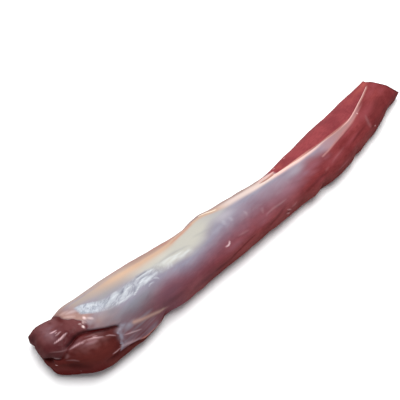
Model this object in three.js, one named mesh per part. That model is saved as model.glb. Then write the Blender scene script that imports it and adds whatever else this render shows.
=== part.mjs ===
import * as THREE from 'three';

// A boneless deer saddle, one loin lying silverskin up, in millimetres.
// +X runs from the thick cut end to the thin end, +Y to the far side, +Z up; it rests on z = 0.
// "turn" is the angle round a section in degrees: 0 far side, 90 top, 180 near side, 270 underside.

// Sections along the loin: x, far edge, near edge, top line, height.
const SECTIONS = [
  [-240, 20, -21, -3, 29],
  [-228, 22.5, -35, -9, 34],
  [-200, 20, -48.5, -15, 39],
  [-140, 16.3, -49, -18, 41],
  [-85, 9, -49, -20, 40],
  [-30, 7.3, -49, -22, 38],
  [45, -1.3, -48, -24, 35],
  [110, 8, -49, -26, 32],
  [165, 12.7, -39, -20, 29],
  [215, 18.5, -25, -6, 23],
  [242, 22.5, -15, 4, 17],
];

// The two cut ends: where, rounding of the face and of its upright corners, slant across.
const THICK_END = { x: -239.5, rounding: 7, corner: 3, slant: 0.03 };
const THIN_END = { x: 240, rounding: 5, corner: 2, slant: 0.45 };
const WIDEST_HEIGHT_SHARE = 0.42;
const UNDERSIDE_TURN = 50;
const MM_PER_RADIAN = 30;

// Lines over the surface: x, turn, and for the furrow its share of the full depth.
const FURROW = [
  [-239.5, 122, 0.9], [-237, 122, 0.9], [-235, 125, 0.8], [-232, 127, 0.5], [-229, 121, 0.3],
  [-226, 115, 0.28], [-223, 110, 0.45], [-220, 106, 0.8], [-216, 102.5, 1], [-212, 98, 1],
  [-207, 96, 1], [-203, 98, 1], [-198, 102.5, 1], [-193, 107.5, 1], [-187, 113.5, 1],
  [-182, 117, 0.9], [-177.5, 121.5, 0.6],
];
const LOBE_CREST = [
  [-222, 113], [-215, 111], [-209, 110.5], [-205, 112], [-200, 114.5], [-196, 118], [-192, 121.5],
  [-188, 124], [-184, 129.5], [-181, 135],
];
const LEDGE = [
  [-200, 164], [-193, 167], [-186, 168.5], [-180, 170.5], [-175, 174], [-170, 178], [-165, 182],
  [-158, 187.5], [-150, 191], [-140, 192], [-130, 186],
];
const TENDON = [
  [16, 59.5], [32, 64], [50, 66], [60, 68], [72, 72], [84, 75], [100, 76.5], [126, 78.5],
  [148, 81], [160, 81.6], [173, 78.8], [186, 75.3], [206, 70.6], [226, 63.7],
];
const NOTCH = { x: -239, turn: 132, width: 2.6, depth: 3.6 };

// Where the silverskin begins on the thick end: turn, x.
const SKIN_EDGE = [
  [0, -213], [30, -211], [44, -210], [57, -208], [64.5, -207.5], [69, -205.5], [75.5, -201],
  [80, -199.5], [85, -197.5], [89, -195], [91.5, -197.5], [95.5, -199], [100, -198], [104, -195],
  [107.5, -191.5], [112, -187], [115.8, -182.5], [119.5, -178.5], [122.5, -177], [126, -177],
  [129.5, -180], [137, -181], [147, -183], [157, -184.5], [164, -187], [177, -192],
];

// The furrow: its depth, how wide its near slope is, and its steeper far slope as x, width.
const FURROW_DEPTH = 4.2;
const FURROW_SHALLOWER = [[-211, 1], [-202, 0.68]];
const FURROW_NEAR = { close: 2.4, broad: 8 };
const FURROW_FAR_CLOSE = [[-222, 2.2], [-212, 1.8], [-204, 1.4]];
const FURROW_FAR_BROAD = [[-222, 6], [-212, 3], [-204, 2]];

const NEAR_LOBE_RISE = 3.4;
const CREST_RISE = 1.4;
const FAR_LOBE_RISE = 1.2;
const SKIN_THICKNESS = 0.8;
const TENDON_RISE = 0.9;
const TENDON_GROOVE = 1.6;
const SIDE_STRIP_RISE = 0.9;
const LEDGE_DEPTH = 1.5;
const LOWER_LAYER_RISE = 1.6;

// Rises and dents of the two long edges: x, length, rise.
const NEAR_EDGE = [
  [-211, 9, 1.7], [-160, 7, 0.8], [-129, 10, -4.6], [-70, 14, -0.8], [7, 7, -0.8], [72, 6, 0.6],
  [88, 8, -4.6], [144, 5, -2.6], [155, 10, 0.4], [182, 6, 0.9], [209, 7, -2.3], [220, 5, -1.4],
];
const FAR_EDGE = [
  [-214, 5, -3.2], [-208, 4, -1.0], [-196, 10, 1], [-76, 12, -0.8], [-72, 14, -1.9], [-44, 11, 1.1],
  [-38, 6, 0.7], [12, 8, 0.8], [72, 16, 1.3],
];

// Rises and dents of the two ends: distance from the top line, width, shift along the loin.
const THICK_EDGE = [[15.5, 4, 2.7], [-3, 5, -0.9], [-16, 5, -1.0], [-26, 5, 1.6]];
const THIN_EDGE = [[22, 4, 3.2], [13.5, 4, -2.9], [3, 9, -1.5], [-14, 5, -1.2], [-21, 4, 2.4]];

const CAP_ROWS = 6;
const THICK_ROWS = 40;
const THICK_ROWS_END_X = -130;
const OTHER_ROWS = 66;
const COLUMNS = [16, 9, 9, 8, 6];

const radians = (turn) => turn * Math.PI / 180;
const clamp = (v, low, high) => Math.min(high, Math.max(low, v));

function ease(t) {
  const k = clamp(t, 0, 1);
  return k * k * (3 - 2 * k);
}

function bump(v, centre, width) {
  const k = (v - centre) / width;
  return Math.exp(-k * k);
}

function bumps(list, v) {
  return list.reduce((sum, [centre, width, rise]) => sum + rise * bump(v, centre, width), 0);
}

// A smooth curve through one column of a table whose first column rises.
function through(table, at, column = 1) {
  const last = table.length - 1;
  const slope = (i) => {
    const a = table[Math.max(0, i - 1)];
    const b = table[Math.min(last, i + 1)];
    return (b[column] - a[column]) / (b[0] - a[0]);
  };
  const v = clamp(at, table[0][0], table[last][0]);
  let i = 0;
  while (i < last - 1 && v >= table[i + 1][0]) {
    i += 1;
  }
  const h = table[i + 1][0] - table[i][0];
  const t = (v - table[i][0]) / h;
  const t2 = t * t;
  const t3 = t2 * t;
  return (2 * t3 - 3 * t2 + 1) * table[i][column] + (t3 - 2 * t2 + t) * h * slope(i)
    + (3 * t2 - 2 * t3) * table[i + 1][column] + (t3 - t2) * h * slope(i + 1);
}

// Distance over the surface from a line, and the line's share there.
function away(line, x, turn) {
  let distance = Infinity;
  let share = 0;
  const across = radians(turn) * MM_PER_RADIAN;
  for (let i = 0; i < line.length - 1; i += 1) {
    const [ax, aturn, ashare = 1] = line[i];
    const [bx, bturn, bshare = 1] = line[i + 1];
    const ay = radians(aturn) * MM_PER_RADIAN;
    const dx = bx - ax;
    const dy = radians(bturn) * MM_PER_RADIAN - ay;
    const t = clamp(((x - ax) * dx + (across - ay) * dy) / (dx * dx + dy * dy), 0, 1);
    const d = Math.hypot(x - ax - t * dx, across - ay - t * dy);
    if (d < distance) {
      distance = d;
      share = ashare + t * (bshare - ashare);
    }
  }
  return { distance, share };
}

// Millimetres over the surface past a line that runs along the loin.
function past(line, x, turn) {
  return radians(turn - through(line, x)) * MM_PER_RADIAN;
}

// Depth of the furrow between the two lobes, steep on its far side.
function furrowCut(x, turn) {
  const steep = past(FURROW, x, turn) < 0;
  const close = steep ? through(FURROW_FAR_CLOSE, x) : FURROW_NEAR.close;
  const broad = steep ? through(FURROW_FAR_BROAD, x) : FURROW_NEAR.broad;
  const { distance, share } = away(FURROW, x, turn);
  const profile = bump(distance, 0, close) + bump(distance, 0, broad) / 3;
  return FURROW_DEPTH * share * profile * through(FURROW_SHALLOWER, x);
}

// How far the surface stands out of the plain loft, in millimetres.
function relief(x, turn) {
  const nearLobe = NEAR_LOBE_RISE * bump(x, -207, 26) * bump(turn, 142, 34);
  const farLobe = FAR_LOBE_RISE * bump(x, -226, 16) * bump(turn, 70, 34);
  const crestThere = ease((x + 221) / 8) * ease((-178 - x) / 8);
  const crest = CREST_RISE * bump(past(LOBE_CREST, x, turn), 0.8, 3.2) * crestThere;
  const fromNotch = Math.hypot(x - NOTCH.x, 0.55 * radians(turn - NOTCH.turn) * MM_PER_RADIAN);
  const notch = NOTCH.depth * bump(fromNotch, 0, NOTCH.width);

  const skin = SKIN_THICKNESS * ease((x - through(SKIN_EDGE, turn)) / 3) * ease((190 - turn) / 25);

  const beyond = -past(TENDON, x, turn);
  const tendonThere = ease((x - 10) / 40) * ease((235 - x) / 20);
  const tendon = tendonThere * (TENDON_RISE * bump(beyond, 0, 1.3)
    - TENDON_GROOVE * bump(beyond, 3.5, 2.8) + SIDE_STRIP_RISE * bump(beyond, 15, 8));

  const layerThere = ease((x + 208) / 14) * ease((-122 - x) / 14);
  const ledge = past(LEDGE, x, turn);
  const layer = layerThere * (LOWER_LAYER_RISE * bump(turn, 192, 14) - LEDGE_DEPTH * bump(ledge, 0.6, 1.5));

  const edges = bump(turn, 185, 30) * bumps(NEAR_EDGE, x) + bump(turn, 5, 30) * bumps(FAR_EDGE, x);
  const lobes = nearLobe + farLobe + crest - notch;
  return lobes + skin + tendon + layer + edges - furrowCut(x, turn);
}

// One of the two rounded ends: 0 at the very end, 1 past the rounding.
function endRounding(distance, rounding) {
  const u = clamp(distance / rounding, 0, 1);
  return (1 - (1 - u) ** 2.6) ** (1 / 2.6);
}

function bothEnds(x, thickRounding, thinRounding) {
  return endRounding(x - THICK_END.x, thickRounding) * endRounding(THIN_END.x - x, thinRounding);
}

function surface(x, turn) {
  const shut = bothEnds(x, THICK_END.rounding, THIN_END.rounding);
  const corner = bothEnds(x, THICK_END.corner, THIN_END.corner);
  const [far, near, top, height] = [1, 2, 3, 4].map((column) => through(SECTIONS, x, column));
  const c = Math.cos(radians(turn));
  const s = Math.sin(radians(turn));
  const widest = WIDEST_HEIGHT_SHARE * height;
  const half = c > 0 ? far - top : top - near;
  let y = half * Math.sign(c) * Math.abs(c) ** 0.9 * corner;
  let z = s > 0 ? (height - widest) * s ** 0.95 * shut
    : -widest * (-s / Math.sin(radians(UNDERSIDE_TURN))) ** 0.8 * shut;

  const toEnd = (THICK_END.x + THICK_END.rounding - x) / THICK_END.rounding;
  const endFace = clamp(toEnd, 0, 1) ** 1.5;
  const push = relief(x, turn) * ease((z + widest) / 5) * ease(shut * 2.2);
  const reach = Math.hypot(y, 1.4 * z) + 1e-6;
  const outY = push * (1 - endFace) * y / reach;
  const outZ = push * (1 - endFace) * 1.4 * z / reach;
  y += outY;
  z = Math.max(widest + z + outZ, 0);

  const slant = THIN_END.slant * ease((x - 150) / 90) + THICK_END.slant * ease((-195 - x) / 40);
  const ragged = ease((x - 215) / 25) * bumps(THIN_EDGE, y) + ease((-215 - x) / 22) * bumps(THICK_EDGE, y);
  return [x - push * endFace - slant * y + ragged, y + top, z];
}

function rowPositions() {
  const quarter = (i) => 1 - Math.cos(Math.PI / 2 * i / CAP_ROWS);
  const xs = [];
  for (let i = 0; i <= CAP_ROWS; i += 1) {
    xs.push(THICK_END.x + THICK_END.rounding * quarter(i));
  }
  const start = THICK_END.x + THICK_END.rounding;
  for (let i = 1; i <= THICK_ROWS; i += 1) {
    xs.push(start + (THICK_ROWS_END_X - start) * i / THICK_ROWS);
  }
  const end = THIN_END.x - THIN_END.rounding;
  for (let i = 1; i <= OTHER_ROWS; i += 1) {
    xs.push(THICK_ROWS_END_X + (end - THICK_ROWS_END_X) * i / OTHER_ROWS);
  }
  for (let i = CAP_ROWS - 1; i >= 0; i -= 1) {
    xs.push(THIN_END.x - THIN_END.rounding * quarter(i));
  }
  return xs;
}

// The columns of one row; one follows the tendon, one the furrow and one the ledge.
function columnTurns(x) {
  const stops = [-UNDERSIDE_TURN, through(TENDON, x), through(FURROW, x), through(LEDGE, x)];
  stops.push(180 + UNDERSIDE_TURN, 360 - UNDERSIDE_TURN);
  return COLUMNS.flatMap((count, part) => Array.from(
    { length: count },
    (_, k) => stops[part] + (stops[part + 1] - stops[part]) * k / count,
  ));
}

function loinGeometry() {
  const xs = rowPositions();
  const columns = COLUMNS.reduce((sum, count) => sum + count, 0);
  const points = [surface(xs[0], 90)];
  xs.slice(1, -1).forEach((x) => {
    columnTurns(x).forEach((turn) => points.push(surface(x, turn)));
  });
  points.push(surface(xs[xs.length - 1], 90));

  const rings = xs.length - 2;
  const at = (ring, k) => 1 + ring * columns + (k % columns);
  const faces = [];
  for (let k = 0; k < columns; k += 1) {
    faces.push(0, at(0, k + 1), at(0, k));
    for (let ring = 0; ring < rings - 1; ring += 1) {
      faces.push(at(ring, k), at(ring, k + 1), at(ring + 1, k));
      faces.push(at(ring, k + 1), at(ring + 1, k + 1), at(ring + 1, k));
    }
    faces.push(points.length - 1, at(rings - 1, k), at(rings - 1, k + 1));
  }

  const geometry = new THREE.BufferGeometry();
  geometry.setAttribute('position', new THREE.Float32BufferAttribute(points.flat(), 3));
  geometry.setIndex(faces);
  geometry.computeBoundingBox();
  const box = geometry.boundingBox;
  geometry.translate(-(box.min.x + box.max.x) / 2, -(box.min.y + box.max.y) / 2, -box.min.z);
  geometry.computeVertexNormals();
  return geometry;
}

const meat = new THREE.MeshStandardMaterial({ color: 0x7c3537, roughness: 0.45 });
const loin = new THREE.Mesh(loinGeometry(), meat);
loin.name = 'loin';

const group = new THREE.Group();
group.name = 'boneless_deer_saddle';
group.add(loin);

export default group;
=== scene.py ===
"""A raw boneless deer saddle: one loin lying silverskin up on a pale table.

Lengths of the loin are in millimetres until its mesh is made. +X runs from the thick cut end to the thin
end, +Y to the far side, +Z up. "turn" is the angle round a section in degrees: 0 far side, 90 top, 180 near
side, 270 underside. Lines and marks on the loin are told in x and turn.
"""

from types import SimpleNamespace

import bpy
import numpy as np
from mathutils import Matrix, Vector


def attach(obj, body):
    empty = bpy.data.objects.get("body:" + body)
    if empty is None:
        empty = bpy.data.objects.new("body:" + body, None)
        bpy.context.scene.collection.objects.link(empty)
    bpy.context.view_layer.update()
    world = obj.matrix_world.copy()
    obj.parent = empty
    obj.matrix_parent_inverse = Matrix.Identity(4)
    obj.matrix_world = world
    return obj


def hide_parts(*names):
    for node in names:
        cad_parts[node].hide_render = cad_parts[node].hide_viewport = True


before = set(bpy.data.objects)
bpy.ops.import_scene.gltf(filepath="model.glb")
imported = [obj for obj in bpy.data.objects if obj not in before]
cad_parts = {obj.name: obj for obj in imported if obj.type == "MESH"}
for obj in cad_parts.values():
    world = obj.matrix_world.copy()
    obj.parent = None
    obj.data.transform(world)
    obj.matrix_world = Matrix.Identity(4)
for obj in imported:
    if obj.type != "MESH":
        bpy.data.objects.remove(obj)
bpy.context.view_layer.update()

MM = 0.001

# Sections along the loin: x, far edge, near edge, top line, height.
SECTIONS = [
    (-240, 20, -21, -3, 29), (-228, 22.5, -35, -9, 34), (-200, 20, -48.5, -15, 39),
    (-140, 16.3, -49, -18, 41), (-85, 9, -49, -20, 40), (-30, 7.3, -49, -22, 38), (45, -1.3, -48, -24, 35),
    (110, 8, -49, -26, 32), (165, 12.7, -39, -20, 29), (215, 18.5, -25, -6, 23), (242, 22.5, -15, 4, 17),
]
# The ends: where, over what length the height and the width round off, and the slant of the cut.
THICK_END_X, THICK_END_ROUNDING, THICK_END_CORNER, THICK_END_SLANT = -239.5, 7, 3, 0.03
THIN_END_X, THIN_END_ROUNDING, THIN_END_CORNER, THIN_END_SLANT = 240, 5, 2, 0.45
END_CURVE = 2.6
# A section: the height of its widest place, how boxy it is, and the turn at which its sides meet the table.
WIDEST_HEIGHT_SHARE = 0.42
SIDE_CURVE, TOP_CURVE, UNDER_CURVE = 0.9, 0.95, 0.8
UNDERSIDE_TURN = 50
# Round a section, as on a radius of 30 mm.
MM_PER_DEGREE = np.radians(30)
# Relief stands out more upwards than sideways.
UPWARD_SHARE = 1.4
# The noise repeats after this many rises.
NOISE_CELLS = 128

# Lines over the loin: x, turn, and for the furrow its share of the full depth, for the orange line its width.
FURROW = [
    (-239.5, 122, 0.9), (-237, 122, 0.9), (-235, 125, 0.8), (-232, 127, 0.5), (-229, 121, 0.3),
    (-226, 115, 0.28), (-223, 110, 0.45), (-220, 106, 0.8), (-216, 102.5, 1), (-212, 98, 1), (-207, 96, 1),
    (-203, 98, 1), (-198, 102.5, 1), (-193, 107.5, 1), (-187, 113.5, 1), (-182, 117, 0.9),
    (-177.5, 121.5, 0.6),
]
LOBE_CREST = [
    (-222, 113), (-215, 111), (-209, 110.5), (-205, 112), (-200, 114.5), (-196, 118), (-192, 121.5),
    (-188, 124), (-184, 129.5), (-181, 135),
]
LEDGE = [
    (-200, 164), (-193, 167), (-186, 168.5), (-180, 170.5), (-175, 174), (-170, 178), (-165, 182),
    (-158, 187.5), (-150, 191), (-140, 192), (-130, 186),
]
TENDON = [
    (16, 59.5), (32, 64), (50, 66), (60, 68), (72, 72), (84, 75), (100, 76.5), (126, 78.5), (148, 81),
    (160, 81.6), (173, 78.8), (186, 75.3), (206, 70.6), (226, 63.7),
]
FAT_LINE = [
    (-200, 45.5), (-176, 49.5), (-154, 53.5), (-140, 56.5), (-112, 59.5), (-92, 58.5), (-76, 52.5),
    (-60, 44.5), (-45, 41), (-28, 49.5), (-14, 56), (4, 57.5),
] + TENDON
SECOND_TENDON = [
    (100, 98), (110, 96), (119, 93), (132, 90.8), (143, 89), (153, 88), (161, 87), (173, 84.5), (189, 81),
    (200, 78),
]
ORANGE_LINE = [
    (-86, 61, 1.1), (-80, 59, 1.5), (-72, 55, 2.1), (-64, 50, 2.8), (-57, 44, 2.2), (-52, 38, 1.2),
]
CREAM_LINE = [(-42, 36), (-38, 41), (-34, 45), (-30, 49), (-27, 52)]
DOUBLE_LINE_GAP = [(29, 57), (38, 57.5), (46, 56)]
UPPER_LINE = [(26, 50), (34, 48), (40, 49.5), (45, 50.5), (49, 51)]
# Along this strand the lower layer's hem has its orange tone with a painted highlight.
HEM_STRAND = [(-165, 180), (-158, 183.5), (-150, 187), (-142, 189), (-135, 189)]
RED_RIM = [(-150, 33), (-127, 37), (-107, 39), (-97, 44), (-88, 50), (-79, 45)]
CREAM_EDGE = [
    (-200, 60), (-185, 62), (-165, 72), (-150, 78), (-130, 83), (-112, 93), (-90, 97), (-70, 97),
    (-60, 92), (-50, 84), (-40, 78), (-30, 79), (-20, 74), (-10, 67), (0, 58),
]
# A painted highlight on the silverskin past the pearly band.
HIGHLIGHT_LINE = [(-106, 87), (-97, 89.5), (-90, 91.5), (-80, 93)]
TAN_STREAK = [(-163, 135), (-157, 140), (-150, 145), (-140, 152), (-134, 157.5), (-130, 165), (-126, 172)]
# The middle of the pearly band, pale partly as thick silverskin and partly as painted highlight.
PEARL_LINE = [
    (-194, 67.5), (-188, 72.5), (-181, 78.5), (-172, 86), (-164, 88.5), (-156, 88.5), (-145, 89),
    (-125, 88), (-105, 89.5), (-80, 92),
]

# The deep notch in the middle of the cut end: x, turn, and how far it is squeezed round the section.
NOTCH = (-239, 132, 0.55)

# Where the silverskin begins on the thick end: turn, x.
SKIN_EDGE = [
    (0, -213), (30, -211), (44, -210), (57, -208), (64.5, -207.5), (69, -205.5), (75.5, -201),
    (80, -199.5), (85, -197.5), (89, -195), (91.5, -197.5), (95.5, -199), (100, -198), (104, -195),
    (107.5, -191.5), (112, -187), (115.8, -182.5), (119.5, -178.5), (122.5, -177), (126, -177),
    (129.5, -180), (137, -181), (147, -183), (157, -184.5), (164, -187), (177, -192),
]
# Where the silverskin thins towards the near side: x, the turn where that begins, the degrees it takes.
SKIN_FADE = [
    (-190, 96, 30), (-160, 100, 26), (-140, 99, 22), (-112, 101, 18), (-92, 107, 20), (-72, 104, 20),
    (-45, 92, 23), (0, 82, 27), (36, 82, 33), (62, 88, 18), (80, 80, 10), (98, 84, 8), (115, 88, 4),
    (200, 84, 3),
]
# What changes along the loin: x and the value there. Widths are in millimetres, the others are strengths.
NEAR_DIMNESS = [
    (84, 0), (108, 0.5), (124, 0.5), (138, 0), (150, 0.1), (172, 0.2), (184, 0.9), (203, 1), (213, 0.5),
    (230, 0.5),
]
PEARL_WIDTH = [(-194, 4.5), (-186, 5.6), (-176, 4.6), (-166, 4.2), (-150, 4.6), (-128, 4.6), (-112, 3.6)]
FAT_NEAR_SPREAD = [
    (-180, 6), (-130, 6), (-92, 4.5), (-66, 3.2), (-45, 3.6), (-25, 5.2), (-10, 5.6), (10, 5.4), (30, 3.6),
    (56, 3.5), (74, 2.6), (86, 1.6), (110, 1.1),
]
FAT_FAR_SPREAD = [
    (-180, 6), (-92, 6), (-45, 4), (-28, 5.2), (6, 6.4), (24, 8.5), (38, 9.5), (46, 8), (54, 2),
    (80, 0.9),
]
FAT_STRENGTH = [
    (-206, 0), (-180, 0.15), (-165, 0.5), (-150, 0.85), (-140, 0.9), (-60, 0.75), (-20, 0.8), (40, 1),
    (76, 1), (100, 0.75), (150, 0.3), (220, 0.3), (228, 0),
]
FLANK_STRENGTH = [
    (54, 0), (62, 0.9), (82, 0.9), (92, 0.6), (100, 0.4), (120, 0.6), (140, 0.55), (152, 0.4), (164, 0),
]

# Pale ridges that stand up and catch the light: width and height in mm, paleness, points of x, turn. Their
# paleness is painted glints on the lobes and the pearly band, and pale tissue on the hem and the strands.
PALE_RIDGES = [
    # painted glints on the cut end's far lobe
    (0.5, 0.4, 0.8, [(-225, 74.5), (-223, 75.5), (-221, 75.5), (-218, 74.5)]),
    (0.4, 0.3, 0.4, [(-222, 79.5), (-219, 78.5)]),
    (0.45, 0.3, 0.45, [(-223, 82.5), (-220, 82.5), (-216, 80.5)]),
    (0.45, 0.4, 0.8, [(-228, 91), (-224, 90.5), (-220, 89.5), (-217, 88), (-213, 87)]),
    (0.6, 0.3, 0.12, [(-235, 104), (-227, 110), (-222, 111)]),
    (0.9, 1.0, 0.35, [(-238, 119), (-235, 122.5), (-230, 125.5)]),
    # painted glints along its near lobe's fold
    (0.6, 0.3, 0.4, [(-222, 113), (-216, 111), (-212, 110.5), (-206, 111.5)]),
    (0.5, 0.3, 0.5, [(-209, 110), (-204, 112), (-200, 114), (-197, 117), (-192, 121.5)]),
    (0.4, 0.2, 0.4, [(-212, 112.5), (-208, 111.5)]),
    (0.4, 0.2, 0.5, [(-201, 113.5), (-199, 112.5), (-196, 114.5)]),
    (0.5, 0.3, 0.28, [(-191, 122), (-188, 124), (-185, 129), (-183, 133)]),
    (1.2, 0.2, 0.12, [(-209, 115.5), (-203, 119.5), (-198, 119.5)]),
    (0.8, 0.3, 0.12, [(-206, 105.5), (-202, 107.5), (-196, 110.5)]),
    (1.4, 0.4, 0.1, [(-225, 116.5), (-226, 123.5), (-228, 128.5)]),
    (1.0, 0.3, 0.1, [(-229, 131.5), (-225, 135.5), (-221, 141.5)]),
    # the silverskin's lower hem and its slack strands
    (0.6, 0.8, 0.5, [(-195, 157.5), (-190, 159), (-185, 158.5)]),
    (0.6, 0.4, 0.4, [(-178, 140), (-170, 147), (-165, 152), (-160, 157)]),
    (1.8, 0.5, 0.3, [(-186, 154), (-178, 161), (-170, 170), (-163, 176)]),
    # puckers of the pearly band, with painted glints
    (0.9, 0.4, 0.7, [(-186, 71.5), (-181, 74.5), (-178, 79.5)]),
    (0.6, 0.4, 0.4, [(-175, 88.5), (-170, 87.5), (-167, 85.5)]),
    (0.8, 0.5, 0.8, [(-167, 86), (-161, 85), (-154, 85.5)]),
    (0.7, 0.4, 0.6, [(-165, 82.5), (-160, 81.5), (-156, 81.5)]),
    (0.7, 0.7, 0.8, [(-158, 89.5), (-153, 89.5), (-149, 87.5), (-142, 87.5)]),
    (0.7, 0.4, 0.6, [(-166, 94), (-159, 96), (-155, 96.5), (-149, 95)]),
    (0.7, 0.4, 0.4, [(-160, 92), (-154, 93), (-150, 92)]),
    (0.6, 0.5, 0.7, [(-148, 100), (-143, 96), (-138, 93)]),
    (0.6, 0.6, 0.9, [(-137, 83.5), (-129, 84.5), (-124, 84.5), (-116, 86.5)]),
    (0.8, 0.5, 0.9, [(-139, 92), (-131, 89), (-126, 89)]),
    (1.2, 0.4, 0.8, [(-134, 93), (-128, 93), (-122, 92)]),
    (0.6, 0.5, 0.9, [(-133, 95), (-128, 94)]),
    (0.6, 0.4, 0.35, [(-133, 104), (-130, 101), (-125, 102)]),
    (0.8, 0.3, 0.5, [(-128, 94), (-122, 93), (-116, 92)]),
    (0.7, 0.3, 0.4, [(-124, 97), (-121, 99), (-120, 103)]),
    (0.7, 0.3, 0.4, [(-106, 83.5), (-98, 86), (-90, 89), (-82, 90)]),
    (0.7, 0.2, 0.3, [(-100, 89.5), (-93, 91.5), (-86, 93)]),
    (0.7, 0.2, 0.3, [(-92, 94), (-86, 95), (-79, 93)]),
    (0.6, 0.2, 0.3, [(-103, 90), (-105, 95), (-108, 99)]),
    (0.6, 0.2, 0.3, [(-100, 91), (-102, 96), (-104, 100)]),
    # fine strands over the middle and the thin end
    (1.5, 0.3, 0.14, [(-10, 93), (-9, 99), (-10, 106.5)]),
    (2.2, 0.2, 0.12, [(-52, 93), (-44, 93), (-36, 92)]),
    (1.8, 0.2, 0.14, [(-26, 87.5), (-25, 92), (-26, 97)]),
    (1.8, 0.2, 0.14, [(-33, 84.5), (-33, 89), (-35, 94)]),
    (1.4, 0.4, 0.12, [(5, 135), (8, 130), (17, 128.5), (27, 130.5), (36, 130.5)]),
    (1.4, 0.3, 0.08, [(4, 123.5), (6, 116.5), (8, 110.5)]),
    (1.4, 0.4, 0.08, [(-33, 128), (-26, 130), (-18, 133)]),
    (0.9, 0.5, 0.25, [(30, 154.5), (33, 160.5), (36, 168)]),
    (0.9, 0.5, 0.3, [(28.5, 164.5), (31, 170), (33.5, 176)]),
    (1.4, 0.4, 0.08, [(36, 158.5), (41, 158.5), (45, 154.5)]),
    (1.3, 0.3, 0.05, [(102, 126), (112, 120), (120, 118), (129, 115)]),
    (1.5, 0.3, 0.05, [(90, 133), (94, 130), (98, 128)]),
    (1.2, 0.3, 0.05, [(105, 156), (115, 157), (126, 158)]),
    (2.2, 0.4, 0.08, [(180, 100), (176, 112), (174.5, 125), (174, 146)]),
    # a hooked fold with a painted glint
    (0.65, 0.7, 1.3, [(-49.5, 130.5), (-46, 131.5), (-44, 129.5), (-42, 124.5)]),
]
# Froth and torn wisps on the border of the silverskin, told in the same way. The froth is pale partly as
# itself and partly as painted glints.
FROTH = [
    (0.85, 0.8, 1.0, [(-199, 90.3), (-199.9, 91.8), (-200.9, 93.6)]),
    (0.65, 0.5, 0.45, [(-196.4, 85.5), (-197.6, 87.5), (-198.6, 89.2)]),
    (0.6, 0.4, 0.38, [(-197.2, 88), (-196, 88.6), (-195, 89.6)]),
    (0.6, 0.4, 0.35, [(-201.8, 86), (-200.4, 86.8), (-199.2, 87.6)]),
    (1.1, 0.5, 0.8, [(-195.6, 82.8), (-194.3, 84), (-193, 85.2)]),
    (0.8, 0.4, 0.42, [(-193, 86), (-191, 88.4), (-188.3, 91.3)]),
    (1.3, 0.15, 0.16, [(-207, 61), (-203, 68), (-198, 75)]),
    (1.7, 0.15, 0.16, [(-208, 51), (-203, 54.5), (-199, 57)]),
    (1.5, 0.15, 0.22, [(-204, 58), (-199, 62), (-194, 67)]),
]
# What is read from such a row: height, or in the next table depth, and paleness.
HEIGHT, PALENESS = 1, 2

# Creases: width and depth in mm, points of x, turn. The finish darkens them as painted shade.
CREASES = [
    (0.9, 0.7, [(-136, 81.5), (-129, 80.5), (-123, 82.5)]),
    (0.8, 0.6, [(-135, 86.5), (-129, 86.5), (-125, 87)]),
    (1.0, 0.8, [(-158, 87.5), (-154, 85.5), (-150, 82.5)]),
    (1.0, 0.6, [(-146, 96), (-143, 93), (-140, 90)]),
    (0.9, 0.5, [(-176, 88), (-172, 84.5), (-168, 81.5)]),
    (0.8, 0.4, [(-136, 102), (-131, 98), (-127, 98)]),
    (5.0, 0.6, [(-234, 142.5), (-226, 152), (-214, 164)]),
    (1.3, 0.7, [(-221, 110), (-225, 117.5), (-229, 125.5), (-233, 130.5)]),
    (1.4, 0.6, [(-56, 167), (-47, 164), (-40, 161.5), (-33, 159.5), (-25, 157), (-12, 153)]),
    (2.6, 0.5, [(-70, 168), (-58, 168), (-46, 165.5)]),
    (1.3, 0.5, [(28, 162), (31, 164.5), (36, 167)]),
    (2.4, 0.5, [(-2, 163), (14, 158), (32, 144)]),
    (1.3, 0.35, [(-112, 82.5), (-100, 81.5), (-90, 82.5), (-80, 85.5), (-74, 88.5)]),
    (1.3, 0.2, [(-68, 79), (-59, 81), (-49, 83)]),
    (2.6, 0.4, [(54, 152.5), (74, 143), (94, 139)]),
    (2.6, 0.4, [(134, 129), (152, 124), (170, 124)]),
    (0.8, 0.35, [(118, 96), (128, 93.5), (142, 91.5), (158, 89.5)]),
]
# Swells and dents of the edges: where, how wide and how high, in mm.
NEAR_EDGE = [
    (-211, 9, 1.7), (-160, 7, 0.8), (-129, 10, -4.6), (-70, 14, -0.8), (7, 7, -0.8), (72, 6, 0.6),
    (88, 8, -4.6), (144, 5, -2.6), (155, 10, 0.4), (182, 6, 0.9), (209, 7, -2.3), (220, 5, -1.4),
]
FAR_EDGE = [
    (-214, 5, -3.2), (-208, 4, -1.0), (-196, 10, 1), (-76, 12, -0.8), (-72, 14, -1.9), (-44, 11, 1.1),
    (-38, 6, 0.7), (12, 8, 0.8), (72, 16, 1.3),
]
THICK_EDGE = [(15.5, 4, 2.7), (-3, 5, -0.9), (-16, 5, -1.0), (-26, 5, 1.6)]
THIN_EDGE = [(22, 4, 3.2), (13.5, 4, -2.9), (3, 9, -1.5), (-14, 5, -1.2), (-21, 4, 2.4)]

# Specks of fat: x, turn, radius, height.
FAT_BITS = [
    (180.5, 154, 0.8, 0.4), (73, 37, 0.8, 0.5), (54, 42, 0.9, 0.5), (174.5, 85, 0.7, 0.4),
    (-236, 142, 0.6, 0.3), (-224, 175, 0.6, 0.3),
]

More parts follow.
